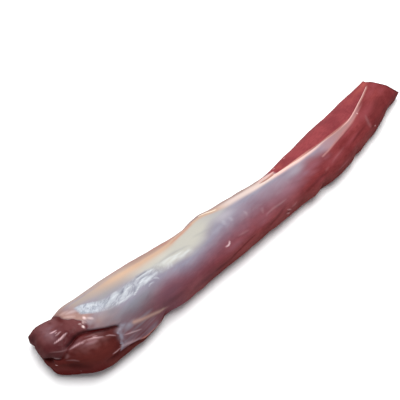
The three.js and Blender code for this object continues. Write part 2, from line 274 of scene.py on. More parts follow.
# Broad tints: a colour, and of each patch x, turn, half length in mm, half width in degrees and strength.
TINTS = {
    "pale_haze": ((156, 150, 158), [(-26, 80, 12, 8, 0.8), (64, 89, 14, 8, 0.4)]),
    # painted sheen on the far lobe
    "far_lobe_sheen": ((124, 94, 100), [(-226, 72, 2.6, 13, 0.85), (-223, 62, 4, 6, 0.5)]),
    "plum": ((95, 65, 76), [(-117, 134, 17, 13, 0.75), (-122, 145, 9, 8, 0.5)]),
    "dusky": ((82, 46, 52), [(-116, 152, 14, 9, 0.6), (-80, 167, 16, 7, 0.5), (-178, 166, 7, 4, 0.45)]),
    "brown_skin": ((112, 86, 88), [
        (-188, 107, 9, 8, 0.85), (-180, 113, 6, 6, 0.7), (-181, 104, 7, 6, 0.85), (-194, 99, 5, 6, 1.0),
        (-197, 94, 2.5, 4, 1.0),
    ]),
    "dun_skin": ((132, 114, 113), [(-180, 96, 9, 6, 0.8), (-173, 101, 7, 6, 0.4), (-190, 93, 5, 4, 0.5)]),
    "torn_skin": ((125, 120, 130), [
        (-176, 128, 5, 4.5, 0.7), (-169, 133, 5, 4, 0.8), (-181, 141, 2.5, 8, 0.4),
    ]),
    "grey_skin": ((138, 136, 138), [(-168, 73.5, 9, 5, 0.8), (-158, 77.5, 7, 4, 0.6)]),
    "bloom": ((109, 71, 73), [
        (-221, 51, 10, 16, 0.75), (-226, 64, 6, 14, 0.7), (-228, 81.5, 5, 7, 0.7), (-214, 53, 5, 12, 0.5),
    ]),
    # painted shine on the near lobe's fold
    "lobe_shine": ((128, 88, 92), [
        (-214, 110, 7, 4, 0.8), (-204, 117, 7, 4, 0.8), (-222, 110, 4, 5, 0.4), (-212, 104.5, 8, 4, 0.4),
    ]),
    "maroon": ((74, 28, 28), [
        (-237, 75, 3, 22, 0.7), (-210, 60, 2.6, 12, 0.8), (-218, 53, 1.6, 4, 0.5), (-193, 171, 8, 7, 0.8),
        (-222, 172, 10, 9, 0.4), (-231, 129, 4, 6, 0.5), (202, 105, 10, 10, 0.35),
        (176.5, 147, 2.5, 4, 0.6), (236.5, 70, 1.8, 60, 0.7), (236.5, 150, 2.2, 60, 0.8),
        (226, 188, 14, 8, 0.6), (-162, 164, 5, 5, 0.35), (231, 157, 6, 10, 0.5), (222, 38, 15, 9, 0.18),
        (-202, 106.5, 5, 3.5, 0.75),
    ]),
    "rosy": ((130, 62, 67), [
        (145, 93, 26, 6, 0.7), (182, 97, 16, 12, 0.8), (214, 81.5, 12, 6, 0.6), (230, 79, 8, 8, 0.8),
        (225, 100, 8, 8, 0.5), (110, 119.5, 16, 8, 0.7), (142, 117.5, 14, 6, 0.7), (104, 125.5, 8, 6, 0.5),
        (120, 156, 7, 5, 0.5), (80, 144, 8, 7, 0.6),
    ]),
    "warm_end": ((152, 76, 70), [
        (229, 50, 7, 9, 0.9), (214, 52, 14, 7, 0.6), (196, 54, 14, 6, 0.3), (59, 48, 5, 7, 0.5),
    ]),
    "dim_skin": ((112, 104, 110), [(-172, 98, 7, 5, 0.75), (-180, 103, 6, 4, 0.3)]),
    "furrow_brink": ((88, 46, 50), [(-198, 94.5, 3, 4.5, 1.0), (-195, 98.5, 3, 3, 0.5)]),
    "mauve_veil": ((130, 96, 108), [
        (42, 115, 15, 8, 0.8), (60, 106, 10, 8, 0.6), (22, 116, 8, 6, 0.4), (-20, 122, 9, 7, 0.3),
        (-1, 110, 8, 7, 0.3), (71, 105, 8, 7, 0.8),
    ]),
    "pink_near": ((130, 79, 88), [
        (24, 119, 20, 8, 0.35), (2, 131, 13, 10, 0.7), (44, 121.5, 20, 10, 0.4), (62, 105, 14, 8, 0.2),
        (85, 101, 12, 9, 0.9), (76, 115, 10, 7, 0.6), (103, 104, 7, 6, 0.5), (60, 122, 12, 8, 0.5),
        (0, 139, 10, 8, 0.7), (-40, 141, 12, 8, 0.8), (-20, 137, 12, 8, 0.4),
    ]),
}

# Thin layers, in the order they are laid: mark, colour, strength.
FLANK_LAYERS = [
    # layer_lit is a painted highlight on the orange hem of the lower layer
    ("flank", (192, 142, 130), 1), ("layer_lit", (186, 122, 108), 0.85), ("tan", (157, 126, 116), 0.85),
]
LINE_LAYERS = [
    ("gap", (154, 110, 98), 1), ("red_rim", (172, 100, 82), 0.32), ("orange", (173, 130, 113), 1),
    ("bright", (228, 215, 195), 0.9), ("second", (172, 126, 124), 0.7), ("cord", (210, 162, 158), 1),
]

# The mesh: rows round each end, along the thick end and along the rest, and columns between the stops that
# column_turns gives, crowded on both sides of the tendon.
CAP_ROWS, THICK_ROWS, OTHER_ROWS = 12, 205, 380
THICK_ROWS_END_X = -130
FAR_TURN = 20
COLUMNS = (14, 38, 40, 38, 22, 10)
TO_TENDON, FROM_TENDON, CROWDING = 1, 2, 1.25
# The way over the surface that the finish's threads follow is told in centimetres.
WAY_UNIT = 10
BUMP_HEIGHT = 0.5 * MM

# The studio, in metres; only the camera's aim is in millimetres. Softboxes: name, place, aim, size, power.
CAMERA_AZIMUTH, CAMERA_ELEVATION, CAMERA_DISTANCE = -43.04, 55.0, 0.80885
CAMERA_AIM = (-13.42, 33.01, 0.0)
CAMERA_LENS, CAMERA_SENSOR = 70, 36
TABLE_SIZE, TABLE_TOP = 9.0, -0.0004
SOFTBOXES = [
    ("back_softbox", (0.42, 0.55, 1.05), (-0.05, 0, 0), (1.3, 0.9), 4),
    ("overhead_softbox", (0.1, 0.1, 1.6), (0, 0, 0), (1.2, 1.2), 32),
]
STUDIO_COLOUR, STUDIO_STRENGTH = (0.95, 0.97, 1.0, 1), 0.4


def ease(t):
    """A smooth step: 0 up to 0, and 1 from 1 on."""
    t = np.clip(t, 0, 1)
    return t * t * (3 - 2 * t)


def rises(v, start, end):
    """0 up to the start, and 1 from the end on."""
    return ease((v - start) / (end - start))


def falls(v, start, end):
    """1 up to the start, and 0 from the end on."""
    return ease((end - v) / (end - start))


def bump(v, centre, width):
    """A soft hump, 1 at its centre."""
    return np.exp(-(((v - centre) / width) ** 2))


def bumps(rows, v):
    """The swells and dents of one edge."""
    return sum(rise * bump(v, centre, width) for centre, width, rise in rows)


def band(distance, half_width, soft):
    """A soft-edged band, 1 along its middle."""
    return ease((half_width - np.abs(distance)) / soft + 0.5)


def graded(v, stops):
    """A value given at its stops, and straight between them."""
    return np.interp(v, [stop[0] for stop in stops], [stop[1] for stop in stops])


def through(table, at, column=1):
    """A smooth curve through one column of a table whose first column rises."""
    rows = np.array([(row[0], row[column]) for row in table], float)
    xs, v = rows.T
    slope = np.empty_like(v)
    slope[1:-1] = (v[2:] - v[:-2]) / (xs[2:] - xs[:-2])
    slope[0] = (v[1] - v[0]) / (xs[1] - xs[0])
    slope[-1] = (v[-1] - v[-2]) / (xs[-1] - xs[-2])
    at = np.clip(at, xs[0], xs[-1])
    i = np.clip(np.searchsorted(xs, at, side="right") - 1, 0, len(xs) - 2)
    h = xs[i + 1] - xs[i]
    t = (at - xs[i]) / h
    t2, t3 = t * t, t * t * t
    return (
        (2 * t3 - 3 * t2 + 1) * v[i]
        + (t3 - 2 * t2 + t) * h * slope[i]
        + (3 * t2 - 2 * t3) * v[i + 1]
        + (t3 - t2) * h * slope[i + 1]
    )


def away(line, x, turn):
    """Distance over the surface from a line, and the line's share there."""
    distance = np.full(x.shape, np.inf)
    share = np.zeros(x.shape)
    across = turn * MM_PER_DEGREE
    for a, b in zip(line[:-1], line[1:]):
        ay = a[1] * MM_PER_DEGREE
        dx, dy = b[0] - a[0], b[1] * MM_PER_DEGREE - ay
        t = np.clip(((x - a[0]) * dx + (across - ay) * dy) / (dx * dx + dy * dy), 0, 1)
        d = np.hypot(x - a[0] - t * dx, across - ay - t * dy)
        closer = d < distance
        distance = np.where(closer, d, distance)
        if len(a) > 2:
            share = np.where(closer, a[2] + t * (b[2] - a[2]), share)
    return distance, share


def beside(line, x, turn, half_width):
    """A soft stripe along a line, 1 on it."""
    return bump(away(line, x, turn)[0], 0, half_width)


def off_line(line, x, turn):
    """Millimetres over the surface from a line that runs along the loin, positive on its near side."""
    return (turn - through(line, x)) * MM_PER_DEGREE


def unevenness(u, v, seed):
    """Smooth noise from about -1 to 1, with one rise or dent for each unit."""
    angles = np.random.default_rng(seed).uniform(0, 2 * np.pi, (NOISE_CELLS, NOISE_CELLS))
    i, j = np.floor(u).astype(int), np.floor(v).astype(int)
    fu, fv = u - i, v - j
    su, sv = fu**3 * (fu * (fu * 6 - 15) + 10), fv**3 * (fv * (fv * 6 - 15) + 10)

    def corner(a, b):
        angle = angles[(i + a) % NOISE_CELLS, (j + b) % NOISE_CELLS]
        return np.cos(angle) * (fu - a) + np.sin(angle) * (fv - b)

    low = corner(0, 0) * (1 - su) + corner(1, 0) * su
    high = corner(0, 1) * (1 - su) + corner(1, 1) * su
    return 1.5 * (low * (1 - sv) + high * sv)


def rough(x, turn, along, around, seed):
    """Unevenness over the surface; each rise is so many millimetres long and wide."""
    return unevenness(x / along, turn * MM_PER_DEGREE / around, seed)


def strokes(rows, x, turn, weight):
    """The strokes of a table laid on the loin, each tapering to its ends; weight is a row's column."""
    out = np.zeros(x.shape)
    for row in rows:
        width, points = row[0], np.array(row[-1], float)
        steps = np.hypot(np.diff(points[:, 0]), np.diff(points[:, 1]) * MM_PER_DEGREE)
        share = np.concatenate([[0], np.cumsum(steps) / steps.sum()])
        reach = np.ptp(points[:, 0]) / 2 + 4 * width
        close = np.abs(x[:, 0] - points[:, 0].mean()) < reach
        distance, share = away(np.column_stack([points, share]).tolist(), x[close], turn[close])
        swell = np.sqrt(np.clip(np.sin(np.pi * share), 0, 1))
        stroke = row[weight] * swell * bump(distance, 0, width * (0.45 + 0.55 * swell))
        out[close] = np.maximum(out[close], stroke)
    return out


def patches(rows, x, turn):
    """The strongest of a tint's patches."""
    strength = np.zeros(x.shape)
    for centre, middle, length, width, share in rows:
        strength = np.maximum(strength, share * bump(x, centre, length) * bump(turn, middle, width))
    return strength


def off_bits(x, turn):
    """Of each speck of fat its distance, its radius and its height."""
    for bit_x, bit_turn, radius, height in FAT_BITS:
        yield np.hypot(x - bit_x, (turn - bit_turn) * MM_PER_DEGREE), radius, height


def skin_rim(x, turn):
    """Millimetres inside the silverskin from its torn border on the thick end."""
    slope = (through(SKIN_EDGE, turn + 1) - through(SKIN_EDGE, turn - 1)) / (2 * MM_PER_DEGREE)
    across = turn * MM_PER_DEGREE
    torn = 0.8 * unevenness(across / 5.5, x / 14, seed=3) + 0.6 * unevenness(across / 2.3, x / 7, seed=4)
    ragged = 1.4 * unevenness(across / 2.4, x / 30, seed=5) + 0.3 * unevenness(across / 1.2, x / 20, seed=6)
    torn += rises(turn, 120, 128) * ragged
    return (x - through(SKIN_EDGE, turn) + torn) / np.sqrt(1 + slope**2)


def measure_lines(marks, x, turn):
    """Distances in millimetres from what several marks follow."""
    furrow_mm, marks.furrow_share = away(FURROW, x, turn)
    marks.furrow_mm = np.where(off_line(FURROW, x, turn) < 0, -furrow_mm, furrow_mm)
    marks.ledge_mm = off_line(LEDGE, x, turn)
    marks.crest_mm = off_line(LOBE_CREST, x, turn)
    marks.line_mm = off_line(FAT_LINE, x, turn)
    marks.beyond_mm = -off_line(TENDON, x, turn)
    marks.rim_mm = skin_rim(x, turn)
    notch_x, notch_turn, squeeze = NOTCH
    marks.notch_mm = np.hypot(x - notch_x, (turn - notch_turn) * MM_PER_DEGREE * squeeze)
    marks.tendon_there = rises(x, 10, 50) * falls(x, 215, 235)
    marks.layer_there = rises(x, -208, -194) * falls(x, -136, -122)
    marks.layer = marks.layer_there * rises(marks.ledge_mm, -0.5, 0.9)


def mark_silverskin(marks, x, turn):
    """Where silverskin lies and how thick, and how the meat under it looks."""
    marks.on_skin = ease(marks.rim_mm / (0.5 + 2.5 * bump(turn, 96, 5)) + 0.5)

    # the side strip is bare; on the hidden far side its end is drawn back and frayed
    hidden = falls(turn, 12, 36)
    frayed = 12 * hidden + 14 * hidden * rough(x, turn, 26, 6, seed=28)
    start = 38 + 0.45 * (np.maximum(turn, 10) - 40) - frayed
    marks.side = falls(marks.line_mm, -1, 0) * rises(x, start, start + 7 + 26 * hidden)
    skin = marks.skin = marks.on_skin * (1 - marks.side) * (1 - marks.layer)

    full, width = through(SKIN_FADE, x, 1), np.maximum(through(SKIN_FADE, x, 2), 2)
    thinned = np.clip((turn - full) / width, 0, None)
    veil = np.exp(-(thinned**1.4)) * rises(turn, -20, 24) * falls(x, 108, 128)
    wider = graded(x, [(-60, 2.3), (0, 1.6), (24, 1.4)])
    mauve = np.exp(-((thinned / wider) ** 2)) * falls(x, 66, 96)
    marks.mauve = np.maximum(mauve, 0.75 * falls(x, -122, -98)) * skin * rises(turn, -40, 10)

    # slack shreds below the furrow, and a breath of skin down the near side
    slack = 0.8 * rough(x, turn, 34, 3.2, seed=8) + 0.5 * rough(x, turn, 60, 7, seed=9)
    shreds = falls(x, -148, -134) * rises(turn, 116, 132) * (0.12 + 0.34 * ease(0.45 + slack))
    veil = np.maximum(veil, shreds * falls(x, -150, -128))
    veil = np.maximum(veil, 0.1 * rises(x, -160, -140) * falls(x, -100, -40))
    marks.veil = skin * veil * (1 - 0.25 * falls(x, -170, -150) * rises(turn, 92, 104))

    marks.dusk = falls(x, -143, -118) * rises(turn, 98, 110) * falls(turn, 146, 166)
    marks.pinker = rises(x, -40, 10) * rises(turn, 74, 86)
    marks.dim = rises(turn, 92, 116) * graded(x, NEAR_DIMNESS)
    # painted light and shade: on the lower near side the meat and the near lobe get duller copies of their
    # colours
    marks.low = rises(turn, 134, 184)
    marks.hem = rises(turn, 158, 184)


def mark_pearly_band(marks, x, turn):
    """The puckered band of thick silverskin along the thick half, pale partly as itself and partly as painted
    highlight, and a painted highlight past it.
    """
    off_pearl = off_line(PEARL_LINE, x, turn)
    width = graded(x, PEARL_WIDTH)
    pearl = band(off_pearl + 0.8 * rough(x, turn, 5, 5, seed=22), width, 3.2)
    strength = rises(x, -196, -192) * graded(x, [(-170, 1), (-164, 0.8), (-126, 0.7), (-100, 0)])
    marks.pearl = marks.skin * pearl * strength
    marks.patch = marks.skin * band(off_pearl, width, 2.2) * rises(x, -195, -191) * falls(x, -178, -170)
    # the painted highlight past the band, broken up
    glow = beside(HIGHLIGHT_LINE, x, turn, 3.0)
    marks.glow = 0.55 * glow * ease(0.6 + 0.9 * rough(x, turn, 11, 1.8, seed=30))


def mark_fat(marks, x, turn):
    """The fat line, the tendons and the pale lines beside them."""
    line = marks.line_mm
    spread = np.where(line < 0.6, graded(x, FAT_FAR_SPREAD), graded(x, FAT_NEAR_SPREAD))
    fullness = graded(x, [(-50, 2), (-25, 3.2), (24, 3), (60, 2)])
    fat = np.exp(-((np.abs(line - 0.6) / spread) ** fullness)) * graded(x, FAT_STRENGTH)
    marks.fat = fat * marks.on_skin * (1 - marks.side)
    marks.pale_fat = rises(x, -32, -8)
    marks.pink_fat = rises(x, 36, 50)
    marks.gap = band(away(DOUBLE_LINE_GAP, x, turn)[0], 1.5 * graded(x, [(27, 0.4), (34, 1)]), 1.4)

    flank_mm, flank_width = graded(x, [(98, 2.1), (112, 1.5)]), graded(x, [(98, 1.9), (112, 0.9)])
    marks.flank = band(line + flank_mm, flank_width, 1.4) * graded(x, FLANK_STRENGTH)
    tendon_cord = bump(line, 0, 0.55) * rises(x, 135, 160) * falls(x, 220, 225)
    marks.cord = np.maximum(tendon_cord, beside(UPPER_LINE, x, turn, 1.0) * rises(x, 24, 32))
    marks.second = beside(SECOND_TENDON, x, turn, 0.9) * rises(x, 92, 102) * falls(x, 162, 202)
    between_tendons = rises(line, 0.3, 1.3) * falls(off_line(SECOND_TENDON, x, turn), -1.2, 0)
    marks.tail_skin = rises(x, 100, 118) * falls(x, 158, 192) * between_tendons
    marks.tail_tan = marks.tail_skin * rises(x, 116, 142)

    orange_mm, orange_width = away(ORANGE_LINE, x, turn)
    marks.orange = bump(orange_mm, 0, orange_width) * graded(x, [(-86, 0.5), (-80, 0.95)])
    marks.red_rim = beside(RED_RIM, x, turn, 1.6)
    marks.bright = beside(CREAM_LINE, x, turn, 0.9)


def mark_far_side(marks, x, turn):
    """The cream film above the fat line, and the silverskin that is carried round the far side."""
    off_cream = off_line(CREAM_EDGE, x, turn) + 1.2 * rough(x, turn, 22, 9, seed=26)
    cream = ease(0.5 - off_cream / graded(x, [(-90, 9), (-64, 14)]))
    there = rises(marks.line_mm, -3, 0) * rises(x, -200, -192) * falls(x, -28, -4)
    marks.cream = marks.skin * cream * there
    marks.cream_head = falls(x, -152, -112)
    marks.cream_cool = rises(x, -58, -28)
    lower = rises(turn + 18 * rough(x, turn, 30, 7, seed=27), -32, 24)
    marks.far = marks.on_skin * falls(marks.line_mm, -6, -1) * (1 - marks.side) * lower
    marks.end_tint = bump(x, 232, 9) * bump(turn, 30, 20)


def mark_thick_end(marks, x, turn):
    """The bare cut end with its painted sheens, the silverskin's torn border there, the lower layer with a
    painted highlight along it, and painted shade in the furrow, the ledge and the notch.
    """
    rim, on_skin = marks.rim_mm, marks.on_skin
    marks.cut = (1 - on_skin) * falls(x, -170, -150)
    marks.far_rim = (1 - on_skin) * falls(turn, 32, 46) * rises(x, -238, -232)
    marks.below_furrow = ease(0.5 + off_line(FURROW, x, turn) / 3)
    # painted sheen on the far lobe
    glisten = ease(0.6 + 0.9 * rough(x, turn, 6, 3.5, seed=24))
    marks.sheen = bump(x, -224, 5.5) * bump(turn, 70, 13) * glisten
    # painted sheen on the near lobe, mostly past its crest
    glisten = ease(0.6 + 0.6 * rough(x, turn, 5, 4, seed=25))
    past_crest = ease(0.35 + marks.crest_mm / 1.6)
    marks.lobe_sheen = bump(x, -201, 17) * bump(turn, 121.5, 9) * glisten * (0.12 + 0.88 * past_crest)

    tan = beside(TAN_STREAK, x, turn, 1.9) * graded(turn, [(157, 1), (164, 0.4), (172, 0)])
    marks.tan = tan * on_skin
    border = bump(rim, 2, 10) * falls(turn, 81, 95)
    border_by_furrow = 0.8 * bump(x, -187, 5) * bump(turn, 98, 7)
    marks.head_tan = on_skin * (border + border_by_furrow) * falls(x, -182, -170)
    fringe = bump(rim, 1.6, 2.4) * rises(turn, 119, 125) * falls(turn, 160, 168)
    fringe += 0.6 * bump(x, -168, 4) * bump(turn, 132.5, 7)
    marks.fringe = on_skin * fringe * ease(0.7 + 0.8 * rough(x, turn, 2.6, 5, seed=23))
    # a painted highlight on the orange hem of the lower layer
    marks.layer_lit = beside(HEM_STRAND, x, turn, 1.4) * rises(x, -168, -162) * falls(x, -140, -134)

    # painted shade darkens the foot of the furrow, of the ledge and of the notch; the furrow's wall under the
    # silverskin is painted a dark meat red, bare meat darkened as painted shade
    by_skin = rises(x, -204, -196)
    off_foot = marks.furrow_mm - 0.5 - 0.4 * by_skin
    foot_width = np.where(off_foot < 0, 0.9 - 0.45 * by_skin, 1.5 - 0.5 * by_skin)
    foot = graded(x, [(-211, 1), (-203, 0.75)]) * marks.furrow_share * bump(off_foot, 0, foot_width)
    ledge_foot = 0.7 * marks.layer_there * bump(marks.ledge_mm, 0.4, 1.1)
    marks.hollow = np.maximum(np.maximum(foot, ledge_foot), bump(marks.notch_mm, 0, 2.2))
    wall = band(marks.furrow_mm + 0.2, 0.65, 0.35)
    marks.wall = by_skin * ease(marks.furrow_share / 0.7) * wall


def mark_small_things(marks, x, turn):
    """Strokes, specks of fat and broad tints."""
    bits = np.zeros(x.shape)
    for distance, radius, _ in off_bits(x, turn):
        bits = np.maximum(bits, falls(distance, 0.6 * radius, 1.3 * radius))
    marks.bits = bits
    marks.ridges = strokes(PALE_RIDGES, x, turn, PALENESS)
    marks.froth = strokes(FROTH, x, turn, PALENESS)
    marks.creases = strokes(CREASES, x, turn, HEIGHT)
    for name, (_, rows) in TINTS.items():
        setattr(marks, name, patches(rows, x, turn))


def loin_marks(x, turn):
    """What lies where on the loin: strengths from 0 to 1, and distances in millimetres."""
    marks = SimpleNamespace()
    measure_lines(marks, x, turn)
    parts = mark_silverskin, mark_pearly_band, mark_fat, mark_far_side, mark_thick_end, mark_small_things
    for part in parts:
        part(marks, x, turn)
    return marks


def form_relief(x, turn, marks):
    """The furrow, the lobes, the tendons, the lower layer and the edges, in millimetres."""
    off_furrow = marks.furrow_mm
    steep = off_furrow < 0
    close = np.where(steep, graded(x, [(-222, 2.2), (-212, 1.6), (-204, 1.1), (-198, 0.8)]), 2.4)
    broad = np.where(steep, graded(x, [(-222, 6), (-212, 3), (-204, 2), (-198, 1.3)]), 8)
    cut = 4.2 * bump(off_furrow, 0, close) + 1.4 * (bump(off_furrow, 0, broad) + bump(off_furrow, 0, 1.0))
    out = -marks.furrow_share * cut * graded(x, [(-211, 1), (-202, 0.68)])
    out += 3.4 * bump(x, -207, 26) * bump(turn, 142, 34)
    out += 1.2 * bump(x, -226, 16) * bump(turn, 70, 34)
    out += 1.4 * bump(marks.crest_mm, 0.8, 3.2) * rises(x, -221, -213) * falls(x, -186, -178)
    out -= 3.6 * bump(marks.notch_mm, 0, 2.6)
    out += 0.8 * ease(marks.rim_mm + 0.5) * falls(turn, 165, 190)

    beyond = marks.beyond_mm
    tendon = 0.9 * bump(beyond, 0, 1.3) - 1.6 * bump(beyond, 3.5, 2.8) + 0.9 * bump(beyond, 15, 8)
    out += marks.tendon_there * tendon
    out += 0.4 * marks.second + 0.4 * marks.bright + 0.25 * marks.orange
    out += marks.layer_there * (1.6 * bump(turn, 192, 14) - 1.5 * bump(marks.ledge_mm, 0.6, 1.5))
    return out + bump(turn, 185, 30) * bumps(NEAR_EDGE, x) + bump(turn, 5, 30) * bumps(FAR_EDGE, x)


def fine_relief(x, turn, marks):
    """Slack meat, the lumpier cut end, puckered silverskin, strokes and specks, in millimetres."""
    across = turn * MM_PER_DEGREE
    bare = 1 - marks.veil
    out = 0.7 * rough(x, turn, 34, 19, seed=11) + 0.3 * rough(x, turn, 13, 9, seed=12)
    slump = 0.35 * rough(x, turn, 12, 7, seed=20) + 0.12 * rough(x, turn, 20, 3, seed=21)
    out += bare * rises(turn, 108, 138) * slump
    lumps = 0.55 * rough(x, turn, 7.5, 6, seed=13) + 0.3 * rough(x, turn, 3.4, 3, seed=14)
    far_lobe = ease((through(FURROW, x) - turn) / 12)
    out += marks.cut * lumps * (0.35 + 0.65 * far_lobe)

    slant_u, slant_v = 0.93 * x - 0.37 * across, 0.37 * x + 0.93 * across
    warp = 1.4 * rough(x, turn, 16, 9, seed=15)
    pucker = np.abs(unevenness(slant_u / 10 + 0.3 * warp, slant_v / 2.4 + warp, seed=16))
    pucker = 0.5 - 1.6 * pucker + 0.4 * unevenness(slant_u / 6, slant_v / 1.5 + warp, seed=17)
    out += pucker * (0.22 * marks.pearl + 0.08 * marks.skin)
    out += 0.06 * rough(x, turn, 18, 1.6, seed=19) * bare
    out += strokes(PALE_RIDGES, x, turn, HEIGHT) + strokes(FROTH, x, turn, HEIGHT) - marks.creases
    for distance, radius, height in off_bits(x, turn):
        out += height * bump(distance, 0, radius)
    return out


def end_rounding(distance, rounding):
    u = np.clip(distance / rounding, 0, 1)
    return (1 - (1 - u) ** END_CURVE) ** (1 / END_CURVE)


def surface(x, turn, push):
    """Points of the loin, x, y and z apart; push is how far its relief stands out."""
    past_thick, past_thin = x - THICK_END_X, THIN_END_X - x
    shut = end_rounding(past_thick, THICK_END_ROUNDING) * end_rounding(past_thin, THIN_END_ROUNDING)
    corner = end_rounding(past_thick, THICK_END_CORNER) * end_rounding(past_thin, THIN_END_CORNER)
    far, near, top, height = (through(SECTIONS, x, column) for column in (1, 2, 3, 4))
    c, s = np.cos(np.radians(turn)), np.sin(np.radians(turn))
    widest = WIDEST_HEIGHT_SHARE * height
    y = np.where(c > 0, far - top, top - near) * np.sign(c) * np.abs(c) ** SIDE_CURVE * corner
    above = (height - widest) * np.abs(s) ** TOP_CURVE
    below = -widest * (np.abs(s) / np.sin(np.radians(UNDERSIDE_TURN))) ** UNDER_CURVE
    z = np.where(s > 0, above, below) * shut

    # relief stands out from the section, but lengthwise on the thick end's face, and none near the table
    end_face = np.clip(1 - past_thick / THICK_END_ROUNDING, 0, 1) ** 1.5
    push = push * rises(z + widest, 0, 5) * ease(shut * 2.2)
    out_y, out_z = y, UPWARD_SHARE * z
    stretch = push * (1 - end_face) / (np.hypot(out_y, out_z) + 1e-6)
    y, z = y + stretch * out_y, np.maximum(widest + z + stretch * out_z, 0)
    slant = THIN_END_SLANT * rises(x, 150, 240) + THICK_END_SLANT * falls(x, -235, -195)
    ragged = rises(x, 215, 240) * bumps(THIN_EDGE, y) + falls(x, -237, -215) * bumps(THICK_EDGE, y)
    return x - push * end_face - slant * y + ragged, y + top, z


def row_positions():
    """Rows crowd where the ends round off, and along the thick end with its furrow."""
    cap = 1 - np.cos(np.linspace(0, np.pi / 2, CAP_ROWS + 1))
    thick_cap, thin_cap = THICK_END_X + THICK_END_ROUNDING * cap, THIN_END_X - THIN_END_ROUNDING * cap[::-1]
    thick_rows = np.linspace(THICK_END_X + THICK_END_ROUNDING, THICK_ROWS_END_X, THICK_ROWS + 1)
    other_rows = np.linspace(THICK_ROWS_END_X, THIN_END_X - THIN_END_ROUNDING, OTHER_ROWS + 1)
    return np.concatenate([thick_cap, thick_rows[1:], other_rows[1:], thin_cap[1:]])


def column_turns(xs):
    """The columns of every row. One follows the tendon, one the furrow and one the ledge."""
    far_stops = [np.full(xs.shape, turn, float) for turn in (-UNDERSIDE_TURN, FAR_TURN)]
    near_stops = [np.full(xs.shape, turn, float) for turn in (180 + UNDERSIDE_TURN, 360 - UNDERSIDE_TURN)]
    stops = far_stops + [through(line, xs) for line in (TENDON, FURROW, LEDGE)] + near_stops
    parts = []
    for part, count in enumerate(COLUMNS):
        start, end, share = stops[part], stops[part + 1], np.arange(count) / count
        if part == TO_TENDON:
            share = 1 - (1 - share) ** CROWDING
        if part == FROM_TENDON:
            share = share**CROWDING
        parts.append(start[:, None] + (end - start)[:, None] * share)
    return np.concatenate(parts, axis=1)


def on_points(values):
    """The values of a grid in the order of the mesh's points: one for each end, and rings between."""
    return np.concatenate([values[:1, 0], values[1:-1].reshape(-1, *values.shape[2:]), values[-1:, 0]])


def closed_faces(rings, columns):
    """Faces between neighbouring rings, and a fan of triangles on each end."""
    points = 1 + np.arange(rings * columns).reshape(rings, columns)
    beside_them = np.roll(points, -1, axis=1)
    quads = np.stack([points[:-1], beside_them[:-1], beside_them[1:], points[1:]], -1).reshape(-1, 4)
    first_fan = np.stack([np.zeros(columns, int), beside_them[0], points[0]], -1)
    last_fan = np.stack([np.full(columns, 1 + rings * columns), points[-1], beside_them[-1]], -1)
    return quads.tolist() + first_fan.tolist() + last_fan.tolist()


def make_loin(finish):
    """The loin with its finish, and on its mesh each mark that the finish reads."""
    xs = row_positions()
    turn = column_turns(xs)
    x = np.broadcast_to(xs[:, None], turn.shape)
    marks = loin_marks(x, turn)
    push = form_relief(x, turn, marks) + fine_relief(x, turn, marks)
    points = on_points(np.stack(surface(x, turn, push), axis=-1))
    centre = (points.min(0) + points.max(0)) / 2
    centre[2] = 0
    mesh = bpy.data.meshes.new("venison_loin")
    faces = closed_faces(turn.shape[0] - 2, turn.shape[1])
    mesh.from_pydata(((points - centre) * MM).tolist(), [], faces)
    mesh.polygons.foreach_set("use_smooth", np.ones(len(mesh.polygons), bool))

    for name in finish.marks_read:
        values = on_points(getattr(marks, name)).astype(np.float32)
        mesh.attributes.new(name, "FLOAT", "POINT").data.foreach_set("value", values)
    way = on_points(np.stack([x, turn * MM_PER_DEGREE, np.zeros(x.shape)], -1)).astype(np.float32)
    way_on_mesh = mesh.attributes.new("way", "FLOAT_VECTOR", "POINT")
    way_on_mesh.data.foreach_set("vector", (way / WAY_UNIT).ravel())
    mesh.update()
    mesh.materials.append(finish.material)
    loin = bpy.data.objects.new("venison_loin", mesh)
    bpy.context.scene.collection.objects.link(loin)
    return loin, centre


def shade(red, green, blue):
    """A colour as a paint chart gives it, 0 to 255, for a shader."""

    def linear(c):
        c /= 255
        return c / 12.92 if c <= 0.04045 else ((c + 0.055) / 1.055) ** 2.4

    return (linear(red), linear(green), linear(blue), 1.0)


class Amount:
    """A number that varies over a surface, for plain sums in a finish."""

    def __init__(self, finish, socket):
        self.finish, self.socket = finish, socket

    def sum(self, operation, first, second):
        return self.finish.node("ShaderNodeMath", {"operation": operation}, {0: first, 1: second})

    def __add__(self, other):
        return self.sum("ADD", self, other)

    def __sub__(self, other):
        return self.sum("SUBTRACT", self, other)

    def __mul__(self, other):
        return self.sum("MULTIPLY", self, other)

    def __abs__(self):
        return self.sum("ABSOLUTE", self, 0.0)

    def __rsub__(self, other):
        return self.sum("SUBTRACT", other, self)

    __radd__, __rmul__ = __add__, __mul__


